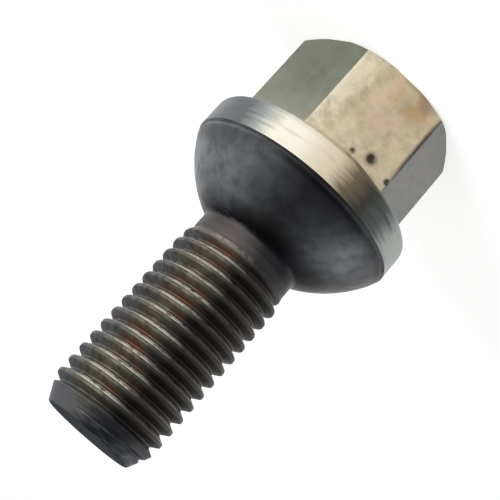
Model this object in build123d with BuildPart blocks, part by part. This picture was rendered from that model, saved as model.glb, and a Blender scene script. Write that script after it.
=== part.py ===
"""Wheel bolt: hexagon head, collar with a ball seat, and a shank sized for a metric thread."""

import os
from math import cos, radians, sin, sqrt, tan

from build123d import *

# Hexagon head, which stands on its end face at z = 0
hex_across_flats = 17.0
hex_height = 10.3
hex_corner_radius = 0.4
head_chamfer_height = 0.67
head_chamfer_angle = 30.0

# Ball seat that centres the wheel; its edge angle is counted from the ball's equator
seat_radius = 13.0
seat_edge_angle = 28.0

# Collar that carries the seat
collar_depth = 4.1
collar_slope = 27.0
collar_edge_radius = 0.8
rim_chamfer = 0.22
land_width = 0.3

# Plain neck between the seat and the thread, at the thread's pitch diameter
neck_length = 1.6
neck_fillet = 0.6

# Metric thread: its major diameter is the shank's, and its depth sets the neck
thread_diameter = 11.95
thread_pitch = 1.5
depth_per_pitch = 0.6134
run_out_length = 1.3

# Shank from the seat to its turned tip
shank_length = 23.6
tip_chamfer_length = 2.4
tip_chamfer_depth = 1.22
tip_edge_radius = 0.3

# How far a cutting profile reaches past the metal that it removes
cutter_overlap = 0.1

# Radii, from the axis outwards
thread_depth = depth_per_pitch * thread_pitch
crest_radius = thread_diameter / 2
neck_radius = crest_radius - thread_depth / 2
tip_radius = crest_radius - tip_chamfer_depth
hex_corner_reach = hex_across_flats / sqrt(3)
head_face_radius = hex_corner_reach - head_chamfer_height / tan(radians(head_chamfer_angle))
land_radius = seat_radius * cos(radians(seat_edge_angle))
collar_radius = land_radius + rim_chamfer

# Heights, from the end of the head to the tip
collar_rise = tan(radians(collar_slope))
collar_apex = hex_height - hex_corner_reach * collar_rise
rim_top = collar_apex + collar_radius * collar_rise
rim_bottom = hex_height + collar_depth
land_start = rim_bottom + rim_chamfer
seat_start = land_start + land_width
seat_centre = seat_start - seat_radius * sin(radians(seat_edge_angle))
seat_end = seat_centre + sqrt(seat_radius**2 - neck_radius**2)
neck_end = seat_end + neck_length
crest_start = neck_end + run_out_length
tip_height = seat_end + shank_length
cone_start = tip_height - tip_chamfer_length

with BuildPart() as bolt:
    # Hexagon with its corners turned off at the end face
    with BuildSketch(Plane.XY) as hexagon:
        RegularPolygon(hex_across_flats / 2, 6, major_radius=False)
        fillet(hexagon.vertices(), hex_corner_radius)
    extrude(amount=hex_height)
    with BuildSketch(Plane.XZ):
        with BuildLine():
            cutter_radius = hex_corner_reach + cutter_overlap
            cutter_rise = (cutter_radius - head_face_radius) * tan(radians(head_chamfer_angle))
            Polyline((head_face_radius, 0), (cutter_radius, 0), (cutter_radius, cutter_rise), close=True)
        make_face()
    revolve(axis=Axis.Z, mode=Mode.SUBTRACT)

    # Collar, ball seat, neck, shank and tip in one turned profile
    with BuildSketch(Plane.XZ) as profile:
        with BuildLine():
            Polyline(
                (0, collar_apex),
                (collar_radius, rim_top),
                (collar_radius, rim_bottom),
                (land_radius, land_start),
                (land_radius, seat_start),
            )
            RadiusArc((land_radius, seat_start), (neck_radius, seat_end), -seat_radius)
            Polyline(
                (neck_radius, seat_end),
                (neck_radius, neck_end),
                (crest_radius, crest_start),
                (crest_radius, cone_start),
                (tip_radius, tip_height),
                (0, tip_height),
                (0, collar_apex),
            )
        make_face()
        rounded_corners = (
            ((collar_radius, rim_top), collar_edge_radius),
            ((neck_radius, seat_end), neck_fillet),
            ((tip_radius, tip_height), tip_edge_radius),
        )
        for corner, radius in rounded_corners:
            fillet(profile.vertices().sort_by_distance(corner)[0], radius)
    revolve(axis=Axis.Z)

bolt.part.label = "wheel_bolt"
os.makedirs("parts", exist_ok=True)
export_step(bolt.part, "parts/wheel_bolt.step")
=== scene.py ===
"""Wheel bolt: rolled thread, worn finishes and a small studio, laid out as a Blender add-on."""

from math import atan, cos, hypot, pi, radians, sin, sqrt, tan, tau

import bmesh
import bpy
from bpy.props import FloatProperty, FloatVectorProperty, IntProperty, PointerProperty
from mathutils import Matrix, Vector


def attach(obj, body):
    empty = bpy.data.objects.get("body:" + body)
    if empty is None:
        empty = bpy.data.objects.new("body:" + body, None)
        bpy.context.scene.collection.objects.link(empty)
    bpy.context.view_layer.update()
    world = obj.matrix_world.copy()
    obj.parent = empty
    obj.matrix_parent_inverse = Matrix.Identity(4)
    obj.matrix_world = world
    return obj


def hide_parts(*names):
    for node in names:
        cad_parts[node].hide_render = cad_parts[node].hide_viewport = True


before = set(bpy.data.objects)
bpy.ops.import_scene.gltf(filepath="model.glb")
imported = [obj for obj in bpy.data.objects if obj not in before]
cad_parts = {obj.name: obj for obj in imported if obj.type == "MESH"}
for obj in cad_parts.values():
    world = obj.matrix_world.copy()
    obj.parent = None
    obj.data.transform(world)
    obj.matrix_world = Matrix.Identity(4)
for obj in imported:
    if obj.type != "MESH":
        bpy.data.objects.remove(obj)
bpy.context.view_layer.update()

bl_info = {
    "name": "Wheel bolt",
    "version": (1, 0, 0),
    "blender": (4, 5, 0),
    "location": "3D View > Sidebar > Wheel bolt",
    "description": "Builds a worn wheel bolt with a rolled thread, and a small studio around it",
    "category": "Object",
}

MM = 0.001

# A corner this near to a cut counts as on it, so that no sliver is left beside it
CUT_SNAP = 0.003 * MM

# Corners closer than this are joined: between the turns of the thread, and on the finished skin
TURN_WELD = 0.002 * MM
SKIN_WELD = 0.001 * MM

# Below the neck's end: where the solid is cut off, the screwed shank begins and its finish begins
SOLID_CUT = 0.9 * MM
SHANK_START = 0.5 * MM
FINISH_START = 0.4 * MM

# Edges of the solid that bend by more than this many degrees stay sharp
SHARP_ANGLE = 25

# Finishes, in the order of the bolt's materials
HEXAGON, COLLAR, SEAT, THREAD = range(4)

# A face above this height is the collar's if it lies outside the hexagon or faces the head's end
COLLAR_LOW = 9.0 * MM
COLLAR_REACH = 9.9 * MM
COLLAR_FACING = -0.3

# Sockets of a colour mix node by number: the second colour's share, the two colours and the result
SHARE, FIRST, SECOND, RESULT = 0, 6, 7, 2

# Rust pits in the front flat: centre on the surface and radius in millimetres, and how dark each is
PITS = (
    ((-0.29, -8.5, 9.2), 0.24, 0.9),
    ((-2.14, -8.5, 8.53), 0.45, 1.0),
    ((-4.72, -8.45, 9.15), 0.26, 1.0),
)

# In radii of its pit: the ball that cuts it, how far the ball's centre lies outside, and the grime round it
PIT_BALL = 5 / 3
PIT_LIFT = 4 / 3
PIT_GRIME = 2.1

# Stains on the front flat and along its edge: colour, centre and half sizes in millimetres, opacity.
# The two pale ones at the +X edge are rubbed plating and also a painted highlight along that edge
FRONT_STAINS = (
    ("pale", (4.3, -8.5, 4.4), (2.0, 1.0, 7.0), 0.65),
    ("pale", (1.5, -8.5, 8.6), (3.2, 1.0, 1.8), 0.35),
    ("blush", (-0.8, -8.5, 5.0), (2.8, 1.0, 2.4), 0.45),
    ("rust", (-2.2, -8.5, 2.0), (2.8, 1.0, 2.2), 0.65),
    ("rust", (1.6, -8.5, 0.8), (1.6, 1.0, 0.8), 0.15),
    ("umber", (-2.9, -8.5, 0.7), (1.7, 1.0, 1.2), 0.8),
    ("umber", (-1.4, -8.5, 0.1), (2.4, 1.0, 0.6), 0.5),
    ("pale", (3.6, -8.5, 1.0), (1.8, 1.0, 1.6), 0.3),
    ("pale", (4.8, -8.5, 5.0), (0.6, 1.0, 11.0), 0.9),
)
EDGE_STAIN = ("grime", (-4.85, -8.45, 4.5), (0.45, 0.6, 6.5), 0.85)

# In half sizes of a stain: how ragged its edge is on the front flat and for grime, and its even core
STAIN_SPREAD = 1.7
GRIME_SPREAD = 0.7
STAIN_CORE = 0.15

# Flats whose plating differs: the way each faces, as an angle from +X in degrees, and its kind of plating.
# Besides its tan, the front flat is drawn lighter than the side flats as painted light
FLATS = ((-150, "violet"), (-90, "tan"))

# Tones round the axis, by the angle from +X in degrees. They paint light and shade:
# on the collar a highlight on one side and shade beside it, partly real grease and tarnish
COLLAR_TONES = (
    (-180, "collar_grey"),
    (-137, "collar_grey"),
    (-124, "collar_shade"),
    (-110, "grease_and_shade"),
    (-98, "tarnish"),
    (-88, "rubbed"),
    (-70, "bright"),
    (-58, "bright"),
    (-46, "collar_grey"),
    (-36, "collar_dark"),
    (60, "collar_dark"),
    (120, "collar_grey"),
    (180, "collar_grey"),
)
# On the thread, lighter olive and violet tones on the lit side, and a black tone as painted shade on the
# other side
THREAD_TONES = (
    (-180, "thread"),
    (-152, "oil"),
    (-98, "oil"),
    (-82, "thread"),
    (-62, "olive"),
    (-42, "olive"),
    (-24, "violet"),
    (20, "thread"),
    (120, "oil"),
    (180, "thread"),
)
# On the neck, darker tones as painted shade on all but its lit side
NECK_TONES = (
    (-180, "neck_shade"),
    (-155, "painted_shade"),
    (-122, "painted_shade"),
    (-96, "neck_shade"),
    (-76, "neck"),
    (-20, "neck"),
    (90, "neck_shade"),
    (180, "neck_shade"),
)

# How far painted shade, a black tone, covers the seat and the tip round the axis, and how far the thread is
# painted as lit on its other side
PAINTED_SHADE_LEVELS = (
    (-180, 0.85),
    (-160, 0.85),
    (-140, 0.75),
    (-124, 0.5),
    (-106, 0.8),
    (-84, 0.9),
    (-62, 0.55),
    (-42, 0.0),
    (40, 0.0),
    (180, 0.85),
)
# Where the thread is painted as lit, with its flank highlight and rust
LIT_SIDE_LEVELS = (
    (-180, 0.2),
    (-140, 0.25),
    (-122, 0.1),
    (-97, 0.1),
    (-75, 1.0),
    (-50, 1.0),
    (-34, 0.3),
    (180, 0.2),
)

# Tones up the seat, with a painted highlight on its edge chamfer and darker towards the neck, and how far
# painted shade darkens the groove by the rim and the corner at the neck on the shaded side, by height in
# millimetres
SEAT_TONES = (
    (14.4, "seat_edge"),
    (14.62, "seat_edge"),
    (14.8, "seat"),
    (15.5, "seat"),
    (17.2, "seat_pale"),
    (19.2, "seat_pale"),
    (20.4, "seat_dark"),
    (20.6, "corner_shade"),
    (20.8, "corner_shade"),
)
CORNER_SHADE_LEVELS = (
    (14.4, 0.0),
    (14.62, 0.0),
    (14.8, 1.0),
    (15.1, 1.0),
    (15.5, 0.0),
    (18.8, 0.0),
    (20.2, 1.0),
    (20.8, 1.0),
)

# Height above the seat, in millimetres, over which the neck's own tones take over
NECK_BLEND = 0.25

# How much rougher the tip's end face is than its side
END_DULLNESS = 0.35

# Lamps: name, azimuth from +X, elevation, strength, and softness in degrees
LAMPS = (("key", -38, 14, 2.0, 30), ("fill", 165, 20, 0.7, 40))

# Light that the floor gives off for the eye and for reflections
FLOOR_GLOW = 0.6

# Camera fitted to the photograph: its right and up directions, its place and its lens in millimetres
CAMERA_RIGHT = (-0.7297, -0.25416, -0.63477)
CAMERA_UP = (0.67651, -0.1335, -0.72423)
CAMERA_PLACE = (11.711, -113.895, 52.656)
CAMERA_LENS = 87.86


def linear(hex_colour):
    """Turn an sRGB hex colour into a linear colour with full opacity."""
    levels = [int(hex_colour[i : i + 2], 16) / 255 for i in (1, 3, 5)]
    return (*[c / 12.92 if c <= 0.04045 else ((c + 0.055) / 1.055) ** 2.4 for c in levels], 1.0)


def length(name, description, millimetres):
    """A length that a user may change, given in millimetres."""
    return FloatProperty(
        name=name, description=description, default=millimetres * MM, unit="LENGTH", precision=5
    )


def colour(name, description, hex_colour):
    """A colour that a user may change, given as sRGB hex."""
    return FloatVectorProperty(
        name=name, description=description, default=linear(hex_colour), subtype="COLOR", size=4, min=0, max=1
    )


class BoltSizes(bpy.types.PropertyGroup):
    """Sizes of the thread and of the places where it meets the solid's neck and tip."""

    thread_pitch: length("Thread pitch", "Rise of the thread in one turn", 1.5)
    thread_depth: length("Thread depth", "From the crest down to the root", 0.8)
    crest_radius: length("Crest radius", "Half the thread's major diameter", 5.975)
    root_width: length("Root width", "Flat at the bottom of the groove", 0.1875)
    thread_rounding: length("Thread rounding", "Softening of crests and roots left by rolling", 0.09)
    rim_bottom: length("Rim bottom", "Height where the collar's rim ends and the seat's edge begins", 14.4)
    neck_radius: length("Neck radius", "Half the plain neck's diameter", 5.515)
    neck_end: length("Neck end", "Height where the plain neck ends", 22.189)
    run_out: length("Run-out", "Length over which the thread grows out of the neck", 2.0)
    groove_height: length("Groove height", "Height of one groove's centre on the +X side", 24.12)
    cone_start: length("Cone start", "Height where the tip's cone begins", 41.789)
    tip_height: length("Tip height", "Height of the flat end of the tip", 44.189)
    tip_depth: length("Tip depth", "How far the cone cuts in at the end", 1.22)
    tip_rounding: length("Tip rounding", "Radius of the edge of the tip's end", 0.3)
    turn_steps: IntProperty(name="Steps per turn", description="Segments in one turn", default=96, min=24)


class BoltColours(bpy.types.PropertyGroup):
    """Colours of the plating, the bare steel and what has settled on them."""

    plating: colour("Plating", "Aged zinc plate of the hexagon", "#7c8172")
    plating_dark: colour("Dark plating", "Zinc plate where it has dulled", "#686d60")
    plating_pale: colour("Pale plating", "Zinc plate beside the bright collar", "#979a8a")
    mauve: colour("Mauve plating", "Zinc plate with a violet bloom", "#847c78")
    mauve_grey: colour("Grey plating", "Zinc plate between the violet patches", "#777d7b")
    # The front flat's tan, also drawn lighter than the side flats as painted light
    passivate: colour("Passivate", "Tan passivation left on the front flat", "#cdbb9e")
    passivate_grey: colour("Greyed passivate", "Passivation that has greyed", "#b8ac92")
    # Rubbed plating, also a painted highlight along the front flat's +X edge
    pale: colour("Pale", "Plating rubbed pale along an edge", "#e4dcc4")
    blush: colour("Blush", "Pinkish bloom on the passivation", "#c9aa9c")
    umber: colour("Umber", "Brown film at the end of the head", "#8f7860")
    rust: colour("Rust", "Orange rust stain", "#a88350")
    grime: colour("Grime", "Dark deposit in pits and along edges", "#352b20")
    collar_grey: colour("Collar grey", "Plain zinc plate of the collar", "#989d9a")
    collar_dark: colour("Collar dark", "Collar where it has darkened", "#63686b")
    # Painted shade on one side of the collar
    collar_shade: colour("Collar film", "Collar under a thin oil film", "#4e5552")
    # Rubbed plating, and part of a painted highlight on one side of the collar
    rubbed: colour("Rubbed collar", "Collar rubbed pale", "#d0c3a9")
    # A painted highlight on one side of the collar
    bright: colour("Bright collar", "Collar rubbed bright", "#e6e1d1")
    tarnish: colour("Tarnish", "Yellow-brown tarnish of the collar", "#685f4b")
    # Grease streaks, and also painted shade on one side of the collar
    grease_and_shade: colour("Grease", "Brown-black grease on the collar", "#31302d")
    seat: colour("Seat", "Dark steel of the ball seat", "#63676a")
    seat_pale: colour("Pale seat", "Steel in the middle of the ball seat", "#95999c")
    seat_dark: colour("Dark seat", "Steel at the seat's edges", "#33343b")
    # A painted highlight on the chamfer between rim and seat
    seat_edge: colour("Seat edge", "Chamfer between rim and seat", "#6d7173")
    # Painted shade, a black tone on one side of the seat and the neck
    painted_shade: colour("Film", "Black oil film on the seat and the neck", "#17161b")
    # Painted shade in the groove by the rim and in the corner of seat and neck
    corner_shade: colour("Crease", "Dirt in the corner of seat and neck", "#0b0b10")
    neck: colour("Neck", "Reddish steel of the neck", "#4d4747")
    # Painted shade on the neck
    neck_shade: colour("Dark neck", "Neck under oil", "#232224")
    thread: colour("Thread", "Oiled steel of the thread", "#3a3a37")
    olive: colour("Olive", "Steel with an olive cast", "#625e4f")
    violet: colour("Violet", "Steel with a violet-grey cast", "#66686d")
    # Oil stains, and also painted shade on one side of the thread
    oil: colour("Oil", "Black oil on the thread", "#1a1714")
    thread_rust: colour("Thread rust", "Rust in the grooves", "#573625")
    # A painted highlight on the flanks towards the head
    flank_highlight: colour("Burnished", "Flanks burnished by the hub's thread", "#f4eedf")
    # Worn steel, also painted as lighter steel on the tip's lit side
    worn_and_lit: colour("Worn", "Steel worn bare on the tip", "#5c5f66")
    tip_face: colour("Tip face", "Scuffed steel of the tip's end", "#252d39")
    # Blued steel, laid on the tip's painted-shade side and on its end face
    tip: colour("Tip", "Blued steel of the tip", "#0d1420")


def add_node(tree, kind, inputs=None, stops=(), **settings):
    """Add a node, set its properties and colour stops, and give each input a value or a link."""
    node = tree.nodes.new(kind)
    for key, value in settings.items():
        setattr(node, key, value)
    for key, value in (inputs or {}).items():
        if isinstance(value, bpy.types.NodeSocket):
            tree.links.new(value, node.inputs[key])
        else:
            node.inputs[key].default_value = value
    if stops:
        marks = node.color_ramp.elements
        marks[0].position = stops[0][0]
        marks[-1].position = stops[-1][0]
        for position, _ in stops[1:-1]:
            marks.new(position)
        for mark, (_, shade) in zip(marks, stops):
            mark.color = shade
    return node


def new_material(name, patterns):
    """Start a node material; return it, its tree, shader and coordinates, and its named noise patterns.

    A pattern has a name, a size in millimetres along each axis, and a level of detail.
    """
    material = bpy.data.materials.new(name)
    material.use_nodes = True
    tree = material.node_tree
    shader = tree.nodes["Principled BSDF"]
    place = add_node(tree, "ShaderNodeTexCoord").outputs
    fields = {}
    for key, size, detail in patterns:
        scaled = add_node(
            tree,
            "ShaderNodeMapping",
            {"Vector": place["Object"], "Scale": [1 / (side * MM) for side in size]},
        )
        field = add_node(
            tree, "ShaderNodeTexNoise", {"Vector": scaled.outputs[0], "Scale": 1.0, "Detail": detail}
        )
        fields[key] = field.outputs["Fac"]
    return material, tree, shader, place, fields


def add_angle(tree, spot, wander, spread):
    """Give the angle round the axis as 0 to 1 from -180 to 180 degrees, with ragged limits."""
    axes = add_node(tree, "ShaderNodeSeparateXYZ", {0: spot})
    angle = add_node(
        tree, "ShaderNodeMath", {0: axes.outputs["Y"], 1: axes.outputs["X"]}, operation="ARCTAN2"
    )
    turn = add_node(tree, "ShaderNodeMapRange", {"Value": angle.outputs[0], "From Min": -pi, "From Max": pi})
    centred = add_node(tree, "ShaderNodeMath", {0: wander, 1: 0.5}, operation="SUBTRACT")
    ragged = add_node(
        tree,
        "ShaderNodeMath",
        {0: centred.outputs[0], 1: spread, 2: turn.outputs[0]},
        operation="MULTIPLY_ADD",
    )
    return ragged.outputs[0]


def stops_along(tones, colours):
    """Stops for tones listed by their place, each a colour's name or a level; the first is 0, the last 1."""
    low, high = tones[0][0], tones[-1][0]
    stops = []
    for place, tone in tones:
        shade = tuple(getattr(colours, tone)) if isinstance(tone, str) else (tone, tone, tone, 1)
        stops.append(((place - low) / (high - low), shade))
    return stops


def add_stains(tree, spot, wander, spread, tone, stains, colours):
    """Lay stains over a tone, each round its centre and with ragged edges, and return the new tone."""
    for name, centre, half_sizes, opacity in stains:
        local = add_node(
            tree,
            "ShaderNodeMapping",
            {
                "Vector": spot,
                "Location": [-c / h for c, h in zip(centre, half_sizes)],
                "Scale": [1 / (h * MM) for h in half_sizes],
            },
        )
        away = add_node(tree, "ShaderNodeVectorMath", {0: local.outputs[0]}, operation="LENGTH")
        ragged = add_node(
            tree, "ShaderNodeMath", {0: wander, 1: spread, 2: away.outputs["Value"]}, operation="MULTIPLY_ADD"
        )
        mask = add_node(
            tree,
            "ShaderNodeMapRange",
            {
                "Value": ragged.outputs[0],
                "From Min": 1.0 + spread / 2,
                "From Max": STAIN_CORE + spread / 2,
                "To Max": opacity,
            },
            interpolation_type="SMOOTHSTEP",
        )
        tone = add_node(
            tree,
            "ShaderNodeMix",
            {SHARE: mask.outputs[0], FIRST: tone, SECOND: tuple(getattr(colours, name))},
            data_type="RGBA",
        ).outputs[RESULT]
    return tone


def aged_zinc(colours):
    """Zinc plate on the forged hexagon: dull grey-olive metal, tan where its passivation is left, and on the
    front flat also drawn lighter as painted light.

    The eye sees soft clouds and a fine grain, pale rubbed corners with a painted highlight along one edge,
    rust stains and dark pits.
    """
    # The grain is finer on a real forging, and is drawn this coarse so that it shows
    patterns = (
        ("cloud", (4.0, 4.0, 4.0), 3.0),
        ("mottle", (1.0, 1.0, 1.0), 6.0),
        ("speck", (0.8, 0.8, 0.8), 5.0),
        ("grain", (0.3, 0.3, 0.3), 2.0),
    )
    material, tree, shader, place, fields = new_material("aged_zinc_plate", patterns)

    # Each kind of plating has two tones: the first mixes them in clouds, the others in a finer mottle
    tones = {}
    mixes = (
        ("plain", "cloud", colours.plating, colours.plating_dark),
        ("violet", "mottle", colours.mauve, colours.mauve_grey),
        ("tan", "mottle", colours.passivate, colours.passivate_grey),
    )
    for name, field, first, second in mixes:
        share = add_node(
            tree, "ShaderNodeMapRange", {"Value": fields[field], "From Min": 0.35, "From Max": 0.65}
        )
        tones[name] = add_node(
            tree,
            "ShaderNodeMix",
            {SHARE: share.outputs[0], FIRST: tuple(first), SECOND: tuple(second)},
            data_type="RGBA",
        ).outputs[RESULT]
    axes = add_node(tree, "ShaderNodeSeparateXYZ", {0: place["Object"]})
    by_collar = add_node(
        tree,
        "ShaderNodeMapRange",
        {"Value": axes.outputs["Z"], "From Min": 5 * MM, "From Max": 11 * MM, "To Max": 0.8},
    )
    speckled = add_node(
        tree,
        "ShaderNodeMapRange",
        {"Value": fields["speck"], "From Min": 0.5, "From Max": 0.75, "To Max": 0.4},
    )
    layers = (
        ("plain", by_collar, colours.plating_pale),
        ("plain", speckled, colours.umber),
        ("violet", speckled, colours.plating_dark),
        ("tan", speckled, colours.umber),
    )
    for name, mask, shade in layers:
        tones[name] = add_node(
            tree,
            "ShaderNodeMix",
            {SHARE: mask.outputs[0], FIRST: tones[name], SECOND: tuple(shade)},
            data_type="RGBA",
        ).outputs[RESULT]
    tones["tan"] = add_stains(
        tree, place["Object"], fields["mottle"], STAIN_SPREAD, tones["tan"], FRONT_STAINS, colours
    )

    # Flats that differ, each by the way it faces, the front one also lighter as painted light, and then the
    # grime on all of them
    tone = tones["plain"]
    for degrees, name in FLATS:
        outward = (cos(radians(degrees)), sin(radians(degrees)), 0)
        facing = add_node(
            tree, "ShaderNodeVectorMath", {0: place["Normal"], 1: outward}, operation="DOT_PRODUCT"
        )
        flat = add_node(
            tree, "ShaderNodeMapRange", {"Value": facing.outputs["Value"], "From Min": 0.88, "From Max": 0.96}
        )
        tone = add_node(
            tree,
            "ShaderNodeMix",
            {SHARE: flat.outputs[0], FIRST: tone, SECOND: tones[name]},
            data_type="RGBA",
        ).outputs[RESULT]
    darkening = [EDGE_STAIN]
    for centre, radius, darkness in PITS:
        darkening.append(("grime", centre, (PIT_GRIME * radius,) * 3, darkness))
    tone = add_stains(tree, place["Object"], fields["mottle"], GRIME_SPREAD, tone, darkening, colours)

    sheen = add_node(
        tree, "ShaderNodeMapRange", {"Value": fields["mottle"], "To Min": 0.38, "To Max": 0.58}
    )
    bump = add_node(
        tree, "ShaderNodeBump", {"Height": fields["grain"], "Strength": 0.35, "Distance": 0.03 * MM}
    )
    tree.links.new(tone, shader.inputs["Base Color"])
    tree.links.new(sheen.outputs[0], shader.inputs["Roughness"])
    tree.links.new(bump.outputs[0], shader.inputs["Normal"])
    shader.inputs["Metallic"].default_value = 0.6
    return material


def collar_zinc(colours):
    """Zinc plate on the turned collar: a painted highlight on one side, and beside it painted shade, brown in
    part with real grease.

    The eye sees fine streaks that run round the rim, as turning leaves them.
    """
    # Turning marks lie closer together on a real bolt, and are drawn this coarse so that they show
    patterns = (("cloud", (3.0, 3.0, 3.0), 3.0), ("streak", (4.0, 4.0, 0.35), 3.0))
    material, tree, shader, place, fields = new_material("rubbed_zinc_plate", patterns)
    turn = add_angle(tree, place["Object"], fields["streak"], spread=0.04)
    # Tones round the axis: a painted highlight on one side of the collar and painted shade beside it
    tone = add_node(
        tree, "ShaderNodeValToRGB", {"Fac": turn}, stops=stops_along(COLLAR_TONES, colours)
    ).outputs["Color"]
    lined = add_node(
        tree,
        "ShaderNodeMapRange",
        {"Value": fields["streak"], "From Min": 0.55, "From Max": 0.8, "To Max": 0.3},
    )
    tone = add_node(
        tree,
        "ShaderNodeMix",
        {SHARE: lined.outputs[0], FIRST: tone, SECOND: tuple(colours.grease_and_shade)},
        data_type="RGBA",
    ).outputs[RESULT]
    sheen = add_node(
        tree, "ShaderNodeMapRange", {"Value": fields["cloud"], "To Min": 0.28, "To Max": 0.48}
    )
    bump = add_node(
        tree, "ShaderNodeBump", {"Height": fields["streak"], "Strength": 0.3, "Distance": 0.03 * MM}
    )
    tree.links.new(tone, shader.inputs["Base Color"])
    tree.links.new(sheen.outputs[0], shader.inputs["Roughness"])
    tree.links.new(bump.outputs[0], shader.inputs["Normal"])
    shader.inputs["Metallic"].default_value = 0.75
    return material


def seat_steel(colours):
    """Turned steel: dark, smooth and shiny, with a painted highlight on its edge chamfer.

    The eye sees dark edges, painted shade in the groove by the rim and in the corner at the neck, and painted
    shade in black over one side.
    """
    patterns = (
        ("cloud", (5.0, 5.0, 5.0), 2.0),
        ("mottle", (1.4, 1.4, 1.4), 6.0),
        ("speck", (0.45, 0.45, 0.45), 3.0),
    )
    material, tree, shader, place, fields = new_material("oiled_seat_steel", patterns)
    axes = add_node(tree, "ShaderNodeSeparateXYZ", {0: place["Object"]})
    low, high = SEAT_TONES[0][0], SEAT_TONES[-1][0]
    up = add_node(
        tree, "ShaderNodeMapRange", {"Value": axes.outputs["Z"], "From Min": low * MM, "From Max": high * MM}
    )
    tone = add_node(
        tree, "ShaderNodeValToRGB", {"Fac": up.outputs[0]}, stops=stops_along(SEAT_TONES, colours)
    ).outputs["Color"]
    # Painted shade by height, in the groove by the rim and in the corner at the neck
    darkening = add_node(
        tree, "ShaderNodeValToRGB", {"Fac": up.outputs[0]}, stops=stops_along(CORNER_SHADE_LEVELS, colours)
    )
    # Painted shade round the axis on the seat, and the neck's tones with their painted shade
    turn = add_angle(tree, place["Object"], fields["cloud"], spread=0.08)
    shaded_side = add_node(
        tree, "ShaderNodeValToRGB", {"Fac": turn}, stops=stops_along(PAINTED_SHADE_LEVELS, colours)
    )
    neck = add_node(tree, "ShaderNodeValToRGB", {"Fac": turn}, stops=stops_along(NECK_TONES, colours))
    necked = add_node(
        tree,
        "ShaderNodeMapRange",
        {"Value": axes.outputs["Z"], "From Min": high * MM, "From Max": (high + NECK_BLEND) * MM},
    )
    cloudy = add_node(
        tree,
        "ShaderNodeMapRange",
        {"Value": fields["mottle"], "From Min": 0.42, "From Max": 0.68, "To Max": 0.5},
    )
    speckled = add_node(
        tree,
        "ShaderNodeMapRange",
        {"Value": fields["speck"], "From Min": 0.55, "From Max": 0.75, "To Max": 0.2},
    )
    # That painted shade only on the shaded side
    corner_shading = add_node(
        tree, "ShaderNodeMath", {0: darkening.outputs["Color"], 1: shaded_side.outputs["Color"]}, operation="MULTIPLY"
    )
    layers = (
        (cloudy.outputs[0], tuple(colours.seat_dark)),
        (speckled.outputs[0], tuple(colours.seat_pale)),
        (shaded_side.outputs["Color"], tuple(colours.painted_shade)),
        (corner_shading.outputs[0], tuple(colours.corner_shade)),
        (necked.outputs[0], neck.outputs["Color"]),
    )
    for mask, shade in layers:
        tone = add_node(
            tree, "ShaderNodeMix", {SHARE: mask, FIRST: tone, SECOND: shade}, data_type="RGBA"
        ).outputs[RESULT]
    sheen = add_node(
        tree, "ShaderNodeMapRange", {"Value": fields["mottle"], "To Min": 0.34, "To Max": 0.52}
    )
    bump = add_node(
        tree, "ShaderNodeBump", {"Height": fields["mottle"], "Strength": 0.2, "Distance": 0.03 * MM}
    )
    tree.links.new(tone, shader.inputs["Base Color"])
    tree.links.new(sheen.outputs[0], shader.inputs["Roughness"])
    tree.links.new(bump.outputs[0], shader.inputs["Normal"])
    shader.inputs["Metallic"].default_value = 0.8
    return material


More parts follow.
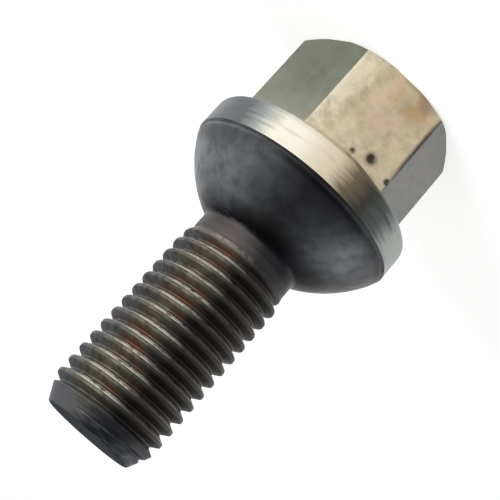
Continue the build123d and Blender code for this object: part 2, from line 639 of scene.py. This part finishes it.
def thread_steel(colours, sizes):
    """Rolled steel under oil: dark, with rust in the grooves and a tip that is blued on its painted-shade
    side and drawn as lighter worn steel on its lit side.

    The eye sees thin bright lines, a painted highlight on the flanks towards the head on the lit side,
    and faint streaks round the end of the tip, as turning leaves them.
    """
    # Turning marks are drawn coarser than on a real tip, so that they show
    patterns = (
        ("cloud", (3.0, 3.0, 3.0), 3.0),
        ("mottle", (0.7, 0.7, 0.7), 4.0),
        ("streak", (1.6, 1.6, 0.3), 4.0),
    )
    material, tree, shader, place, fields = new_material("oiled_thread_steel", patterns)
    axes = add_node(tree, "ShaderNodeSeparateXYZ", {0: place["Object"]})
    slant = add_node(tree, "ShaderNodeSeparateXYZ", {0: place["Normal"]})
    flat = add_node(tree, "ShaderNodeVectorMath", {0: place["Object"], 1: (1, 1, 0)}, operation="MULTIPLY")
    reach = add_node(tree, "ShaderNodeVectorMath", {0: flat.outputs[0]}, operation="LENGTH")
    turn = add_angle(tree, place["Object"], fields["cloud"], spread=0.1)
    # Tones round the axis: lighter on the lit side, painted shade on the other
    tone = add_node(
        tree, "ShaderNodeValToRGB", {"Fac": turn}, stops=stops_along(THREAD_TONES, colours)
    ).outputs["Color"]

    # Levels and tones round the axis: where the thread is painted lit, where painted shade lies, and the
    # neck's tones with their painted shade
    masks = {}
    rings = {"lit_side": LIT_SIDE_LEVELS, "shaded_side": PAINTED_SHADE_LEVELS, "neck_tone": NECK_TONES}
    for name, tones in rings.items():
        ring = add_node(tree, "ShaderNodeValToRGB", {"Fac": turn}, stops=stops_along(tones, colours))
        masks[name] = ring.outputs["Color"]

    # Levels by depth in the groove, slant, height and in patches: 0 at the first value, 1 at the second
    root = sizes.crest_radius - sizes.thread_depth
    cone = sizes.cone_start
    spans = {
        "unshaded": (masks["shaded_side"], 0.6, 0.1),
        "deep": (reach.outputs["Value"], sizes.crest_radius - 0.1 * MM, root + 0.3 * MM),
        "upper": (reach.outputs["Value"], root + 0.1 * MM, root + 0.35 * MM),
        "bearing": (slant.outputs["Z"], -0.2, -0.5),
        "level": (slant.outputs["Z"], 0.9, 0.98),
        "shank": (axes.outputs["Z"], cone + 0.5 * MM, cone - 0.5 * MM),
        "tip": (axes.outputs["Z"], cone - 0.5 * MM, cone + 1.0 * MM),
        "end": (axes.outputs["Z"], cone + 0.6 * MM, cone + 2.0 * MM),
        "neck": (axes.outputs["Z"], sizes.neck_end + 1.6 * MM, sizes.neck_end),
        "patchy": (fields["cloud"], 0.44, 0.62),
        "broken": (fields["mottle"], 0.3, 0.5),
        "stained": (fields["mottle"], 0.42, 0.8),
        "streaky": (fields["streak"], 0.46, 0.76),
    }
    for name, (value, low, high) in spans.items():
        span = add_node(tree, "ShaderNodeMapRange", {"Value": value, "From Min": low, "From Max": high})
        masks[name] = span.outputs[0]

    # Painted highlight on the flanks towards the head and rust in the grooves, both on the lit side only,
    # and on the tip lighter worn steel on the lit side, blueing on the painted-shade side, and streaks
    products = (
        ("flank_highlight", ("lit_side", "bearing", "upper", "broken", "shank")),
        ("worn_and_lit", ("unshaded", "tip", "broken")),
        ("rusty", ("lit_side", "deep", "patchy", "shank")),
        ("shaded_blueing", ("shaded_side", "tip")),
        ("turned", ("end", "streaky")),
        ("scuffed", ("level", "broken")),
    )
    for name, factors in products:
        product = masks[factors[0]]
        for factor in factors[1:]:
            product = add_node(
                tree, "ShaderNodeMath", {0: product, 1: masks[factor]}, operation="MULTIPLY"
            ).outputs[0]
        masks[name] = product
    layers = (
        ("stained", tuple(colours.oil)),
        ("rusty", tuple(colours.thread_rust)),
        ("shaded_blueing", tuple(colours.tip)),
        ("worn_and_lit", tuple(colours.worn_and_lit)),
        ("turned", tuple(colours.worn_and_lit)),
        ("level", tuple(colours.tip)),
        ("scuffed", tuple(colours.tip_face)),
        ("flank_highlight", tuple(colours.flank_highlight)),
        ("neck", masks["neck_tone"]),
    )
    for name, shade in layers:
        tone = add_node(
            tree, "ShaderNodeMix", {SHARE: masks[name], FIRST: tone, SECOND: shade}, data_type="RGBA"
        ).outputs[RESULT]
    sheen = add_node(
        tree, "ShaderNodeMapRange", {"Value": fields["mottle"], "To Min": 0.4, "To Max": 0.6}
    )
    dull = add_node(
        tree,
        "ShaderNodeMath",
        {0: masks["level"], 1: END_DULLNESS, 2: sheen.outputs[0]},
        operation="MULTIPLY_ADD",
    )
    tree.links.new(tone, shader.inputs["Base Color"])
    tree.links.new(dull.outputs[0], shader.inputs["Roughness"])
    shader.inputs["Metallic"].default_value = 0.5
    return material


def make_thread(sizes):
    """Screw one pitch of the thread's section up the shank, then fade it into the neck and the tip."""
    pitch = sizes.thread_pitch
    root = sizes.crest_radius - sizes.thread_depth
    root_half = sizes.root_width / 2
    flank_angle = radians(30)
    flank = sizes.thread_depth * tan(flank_angle)
    turns_below = 3
    turns = 17
    start = sizes.groove_height - turns_below * pitch

    # Section over one pitch, from the middle of a groove to the middle of the next
    section = bmesh.new()
    outline = (
        (0, root),
        (root_half, root),
        (root_half + flank, sizes.crest_radius),
        (pitch - root_half - flank, sizes.crest_radius),
        (pitch - root_half, root),
        (pitch, root),
    )
    corners = [section.verts.new((r, 0, start + z)) for z, r in outline]
    for pair in zip(corners, corners[1:]):
        section.edges.new(pair)
    bmesh.ops.bevel(
        section,
        geom=corners[1:5],
        offset=sizes.thread_rounding,
        offset_type="OFFSET",
        affect="VERTICES",
        segments=3,
        profile=0.5,
        material=-1,
    )
    flanks = [e for e in section.edges if abs(e.verts[0].co.x - e.verts[1].co.x) > sizes.thread_depth / 2]
    bmesh.ops.subdivide_edges(section, edges=flanks, cuts=5)
    bmesh.ops.spin(
        section,
        geom=section.verts[:] + section.edges[:],
        cent=(0, 0, 0),
        axis=(0, 0, 1),
        dvec=(0, 0, pitch / sizes.turn_steps),
        angle=tau,
        steps=sizes.turn_steps,
    )

    # One turn is repeated up the shank, each turn ending where the next begins
    first_turn = section.verts[:] + section.edges[:] + section.faces[:]
    for turn in range(1, turns):
        copy = bmesh.ops.duplicate(section, geom=first_turn)
        verts = [item for item in copy["geom"] if isinstance(item, bmesh.types.BMVert)]
        bmesh.ops.translate(section, verts=verts, vec=(0, 0, turn * pitch))
    bmesh.ops.remove_doubles(section, verts=section.verts, dist=TURN_WELD)

    # Level cuts in the neck, at the end of the tip, and through the tip's rounded edge
    cut_level(section, sizes.neck_end - SHANK_START, clear_inner=True)
    end = cut_level(section, sizes.tip_height, clear_outer=True)
    lean = atan(sizes.tip_depth / (sizes.tip_height - sizes.cone_start))
    rounding = sizes.tip_rounding
    arc_height = sizes.tip_height - rounding
    arc_reach = sizes.crest_radius - sizes.tip_depth - rounding * tan((pi / 2 - lean) / 2)
    arc_steps = 4
    for step in range(arc_steps):
        angle = lean + (pi / 2 - lean) * step / arc_steps
        cut_level(section, arc_height + rounding * sin(angle))

    # Run-out into the plain neck, and the turned cone of the tip
    neck = sizes.neck_radius
    for vert in section.verts:
        height = vert.co.z
        reach = hypot(vert.co.x, vert.co.y)
        grown = min(max((height - sizes.neck_end) / sizes.run_out, 0), 1)
        wanted = neck + (reach - neck) * grown * grown * (3 - 2 * grown)
        limit = sizes.crest_radius - tan(lean) * max(height - sizes.cone_start, 0)
        if height > arc_height + rounding * sin(lean):
            limit = arc_reach + sqrt(max(rounding**2 - (height - arc_height) ** 2, 0))
        wanted = min(wanted, limit)
        vert.co.x *= wanted / reach
        vert.co.y *= wanted / reach
    bmesh.ops.contextual_create(section, geom=[e for e in end if e.is_valid])
    return section


def cut_level(mesh, height, **dropped):
    """Cut a mesh level and return the cut's edges; clear_inner drops what is below it, clear_outer above."""
    cut = bmesh.ops.bisect_plane(
        mesh,
        geom=mesh.verts[:] + mesh.edges[:] + mesh.faces[:],
        dist=CUT_SNAP,
        plane_co=(0, 0, height),
        plane_no=(0, 0, 1),
        **dropped,
    )
    return [e for e in cut["geom_cut"] if isinstance(e, bmesh.types.BMEdge)]


def sink_pits(context, solid):
    """Cut the rust pits into a copy of the solid and return it as a bmesh."""
    body = bmesh.new()
    body.from_mesh(solid.data)
    bmesh.ops.remove_doubles(body, verts=body.verts, dist=SKIN_WELD)
    balls = bmesh.new()
    for centre, radius, _ in PITS:
        # A ball wider than its pit, most of it outside the surface, cuts a third of the pit's radius deep
        place = Vector(centre) + Vector((0, -PIT_LIFT * radius, 0))
        bmesh.ops.create_icosphere(
            balls, subdivisions=4, radius=PIT_BALL * radius * MM, matrix=Matrix.Translation(place * MM)
        )
    objects = []
    for name, shape in (("whole", body), ("balls", balls)):
        mesh = bpy.data.meshes.new(name)
        shape.to_mesh(mesh)
        objects.append(bpy.data.objects.new(name, mesh))
        context.collection.objects.link(objects[-1])
    whole, cutter = objects
    cut = whole.modifiers.new("Pits", "BOOLEAN")
    cut.operation = "DIFFERENCE"
    cut.solver = "EXACT"
    cut.object = cutter
    pitted = bpy.data.meshes.new_from_object(whole.evaluated_get(context.evaluated_depsgraph_get()))
    body.clear()
    body.from_mesh(pitted)
    balls.free()
    for mesh in (whole.data, cutter.data, pitted):
        bpy.data.meshes.remove(mesh)
    return body


def pick_finish(face, sizes):
    """Which finish a face has: the hexagon's, the collar's, the seat's with the neck, or the thread's."""
    centre = face.calc_center_median()
    if centre.z > sizes.neck_end - FINISH_START:
        return THREAD
    if centre.z > sizes.rim_bottom:
        return SEAT
    outside = hypot(centre.x, centre.y) > COLLAR_REACH
    if centre.z > COLLAR_LOW and (outside or face.normal.z < COLLAR_FACING):
        return COLLAR
    return HEXAGON


class WHEELBOLT_OT_bolt(bpy.types.Operator):
    """Build the bolt: the solid's head, collar and seat, with a screwed thread on the shank"""

    bl_idname = "wheel_bolt.make_bolt"
    bl_label = "Make bolt"

    def execute(self, context):
        sizes = context.scene.wheel_bolt_sizes
        colours = context.scene.wheel_bolt_colours

        # Threaded shank
        thread = make_thread(sizes)
        shank = bpy.data.meshes.new("shank")
        thread.to_mesh(shank)
        thread.free()

        # Head, collar and seat of the solid, up to the neck, and then the shank on them
        body = sink_pits(context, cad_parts["wheel_bolt"])
        cut_level(body, sizes.neck_end - SOLID_CUT, clear_outer=True)
        for edge in body.edges:
            if len(edge.link_faces) == 2 and edge.calc_face_angle() > radians(SHARP_ANGLE):
                edge.smooth = False
        body.from_mesh(shank)
        bpy.data.meshes.remove(shank)
        open_edges = [e for e in body.edges if len(e.link_faces) == 1]
        bmesh.ops.bridge_loops(body, edges=open_edges)
        bmesh.ops.remove_doubles(body, verts=body.verts, dist=SKIN_WELD)
        bmesh.ops.recalc_face_normals(body, faces=body.faces)
        for face in body.faces:
            face.smooth = True
            face.material_index = pick_finish(face, sizes)
        if any(len(e.link_faces) != 2 for e in body.edges):
            raise RuntimeError("the bolt's skin isn't closed")
        mesh = bpy.data.meshes.new("bolt")
        body.to_mesh(mesh)
        body.free()
        bolt = bpy.data.objects.new("bolt", mesh)
        context.collection.objects.link(bolt)
        mesh.materials.append(aged_zinc(colours))
        mesh.materials.append(collar_zinc(colours))
        mesh.materials.append(seat_steel(colours))
        mesh.materials.append(thread_steel(colours, sizes))
        weighted = bolt.modifiers.new("Weighted normals", "WEIGHTED_NORMAL")
        weighted.keep_sharp = True
        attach(bolt, "root")
        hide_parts("wheel_bolt")
        return {"FINISHED"}


class WHEELBOLT_OT_stage(bpy.types.Operator):
    """Lay a pale floor, light it softly and set the camera"""

    bl_idname = "wheel_bolt.make_stage"
    bl_label = "Make stage"

    def execute(self, context):
        scene = context.scene
        scene.view_settings.view_transform = "Standard"

        # Floor: white card, lifted to white for the eye and for reflections
        card = bmesh.new()
        bmesh.ops.create_grid(card, x_segments=1, y_segments=1, size=4)
        mesh = bpy.data.meshes.new("floor")
        card.to_mesh(mesh)
        card.free()
        floor = bpy.data.objects.new("floor", mesh)
        context.collection.objects.link(floor)
        material = bpy.data.materials.new("white_card")
        material.use_nodes = True
        tree = material.node_tree
        tree.nodes.clear()
        rays = add_node(tree, "ShaderNodeLightPath").outputs
        seen = rays["Is Camera Ray"]
        for kind in ("Is Glossy Ray", "Is Transmission Ray"):
            seen = add_node(tree, "ShaderNodeMath", {0: seen, 1: rays[kind]}, operation="MAXIMUM").outputs[0]
        lift = add_node(tree, "ShaderNodeMath", {0: seen, 1: FLOOR_GLOW}, operation="MULTIPLY")
        glow = add_node(tree, "ShaderNodeEmission", {"Strength": lift.outputs[0]})
        paper = add_node(tree, "ShaderNodeBsdfDiffuse", {"Color": linear("#f4f4f2")})
        both = add_node(tree, "ShaderNodeAddShader", {0: glow.outputs[0], 1: paper.outputs[0]})
        add_node(tree, "ShaderNodeOutputMaterial", {"Surface": both.outputs[0]})
        mesh.materials.append(material)

        # World: white at the horizon, dimmer overhead
        world = bpy.data.worlds.new("studio")
        world.use_nodes = True
        tree = world.node_tree
        way = add_node(tree, "ShaderNodeTexCoord").outputs["Generated"]
        axes = add_node(tree, "ShaderNodeSeparateXYZ", {0: way})
        level = add_node(
            tree,
            "ShaderNodeMapRange",
            {"Value": axes.outputs["Z"], "From Min": 0.03, "From Max": 0.4, "To Min": 1.0, "To Max": 0.3},
        )
        sky = tree.nodes["Background"]
        sky.inputs["Color"].default_value = linear("#ffffff")
        tree.links.new(level.outputs[0], sky.inputs["Strength"])
        scene.world = world

        # Lamps: a soft key from between +X and -Y, and a weaker fill from -X
        for name, azimuth, elevation, strength, softness in LAMPS:
            lamp = bpy.data.lights.new(name, "SUN")
            lamp.energy = strength
            lamp.angle = radians(softness)
            holder = bpy.data.objects.new(name, lamp)
            a, e = radians(azimuth), radians(elevation)
            towards = Vector((cos(a) * cos(e), sin(a) * cos(e), sin(e)))
            holder.rotation_euler = towards.to_track_quat("Z", "Y").to_euler()
            context.collection.objects.link(holder)

        # Camera: the photograph's viewpoint, turned so that the tip points down to the left
        camera = bpy.data.objects.new("camera", bpy.data.cameras.new("camera"))
        right = Vector(CAMERA_RIGHT)
        up = Vector(CAMERA_UP)
        back = right.cross(up)
        turn = Matrix((right, up, back)).transposed().to_4x4()
        place = Matrix.Translation(Vector(CAMERA_PLACE) * MM)
        camera.matrix_world = place @ turn
        camera.data.sensor_width = 36
        camera.data.lens = CAMERA_LENS
        camera.data.clip_start = 0.01
        context.collection.objects.link(camera)
        scene.camera = camera
        return {"FINISHED"}


class WHEELBOLT_PT_panel(bpy.types.Panel):
    """Lists the bolt's steps, sizes and colours"""

    bl_idname = "WHEELBOLT_PT_panel"
    bl_label = "Wheel bolt"
    bl_space_type = "VIEW_3D"
    bl_region_type = "UI"
    bl_category = "Wheel bolt"

    def draw(self, context):
        for operator in (WHEELBOLT_OT_bolt, WHEELBOLT_OT_stage):
            self.layout.operator(operator.bl_idname)
        for group in (context.scene.wheel_bolt_sizes, context.scene.wheel_bolt_colours):
            box = self.layout.box()
            for name in group.__annotations__:
                box.prop(group, name)


CLASSES = (BoltSizes, BoltColours, WHEELBOLT_OT_bolt, WHEELBOLT_OT_stage, WHEELBOLT_PT_panel)


def register():
    for item in CLASSES:
        bpy.utils.register_class(item)
    bpy.types.Scene.wheel_bolt_sizes = PointerProperty(type=BoltSizes)
    bpy.types.Scene.wheel_bolt_colours = PointerProperty(type=BoltColours)


def unregister():
    del bpy.types.Scene.wheel_bolt_colours
    del bpy.types.Scene.wheel_bolt_sizes
    for item in reversed(CLASSES):
        bpy.utils.unregister_class(item)


def main():
    register()
    bpy.ops.wheel_bolt.make_bolt()
    bpy.ops.wheel_bolt.make_stage()


if __name__ == "__main__":
    main()
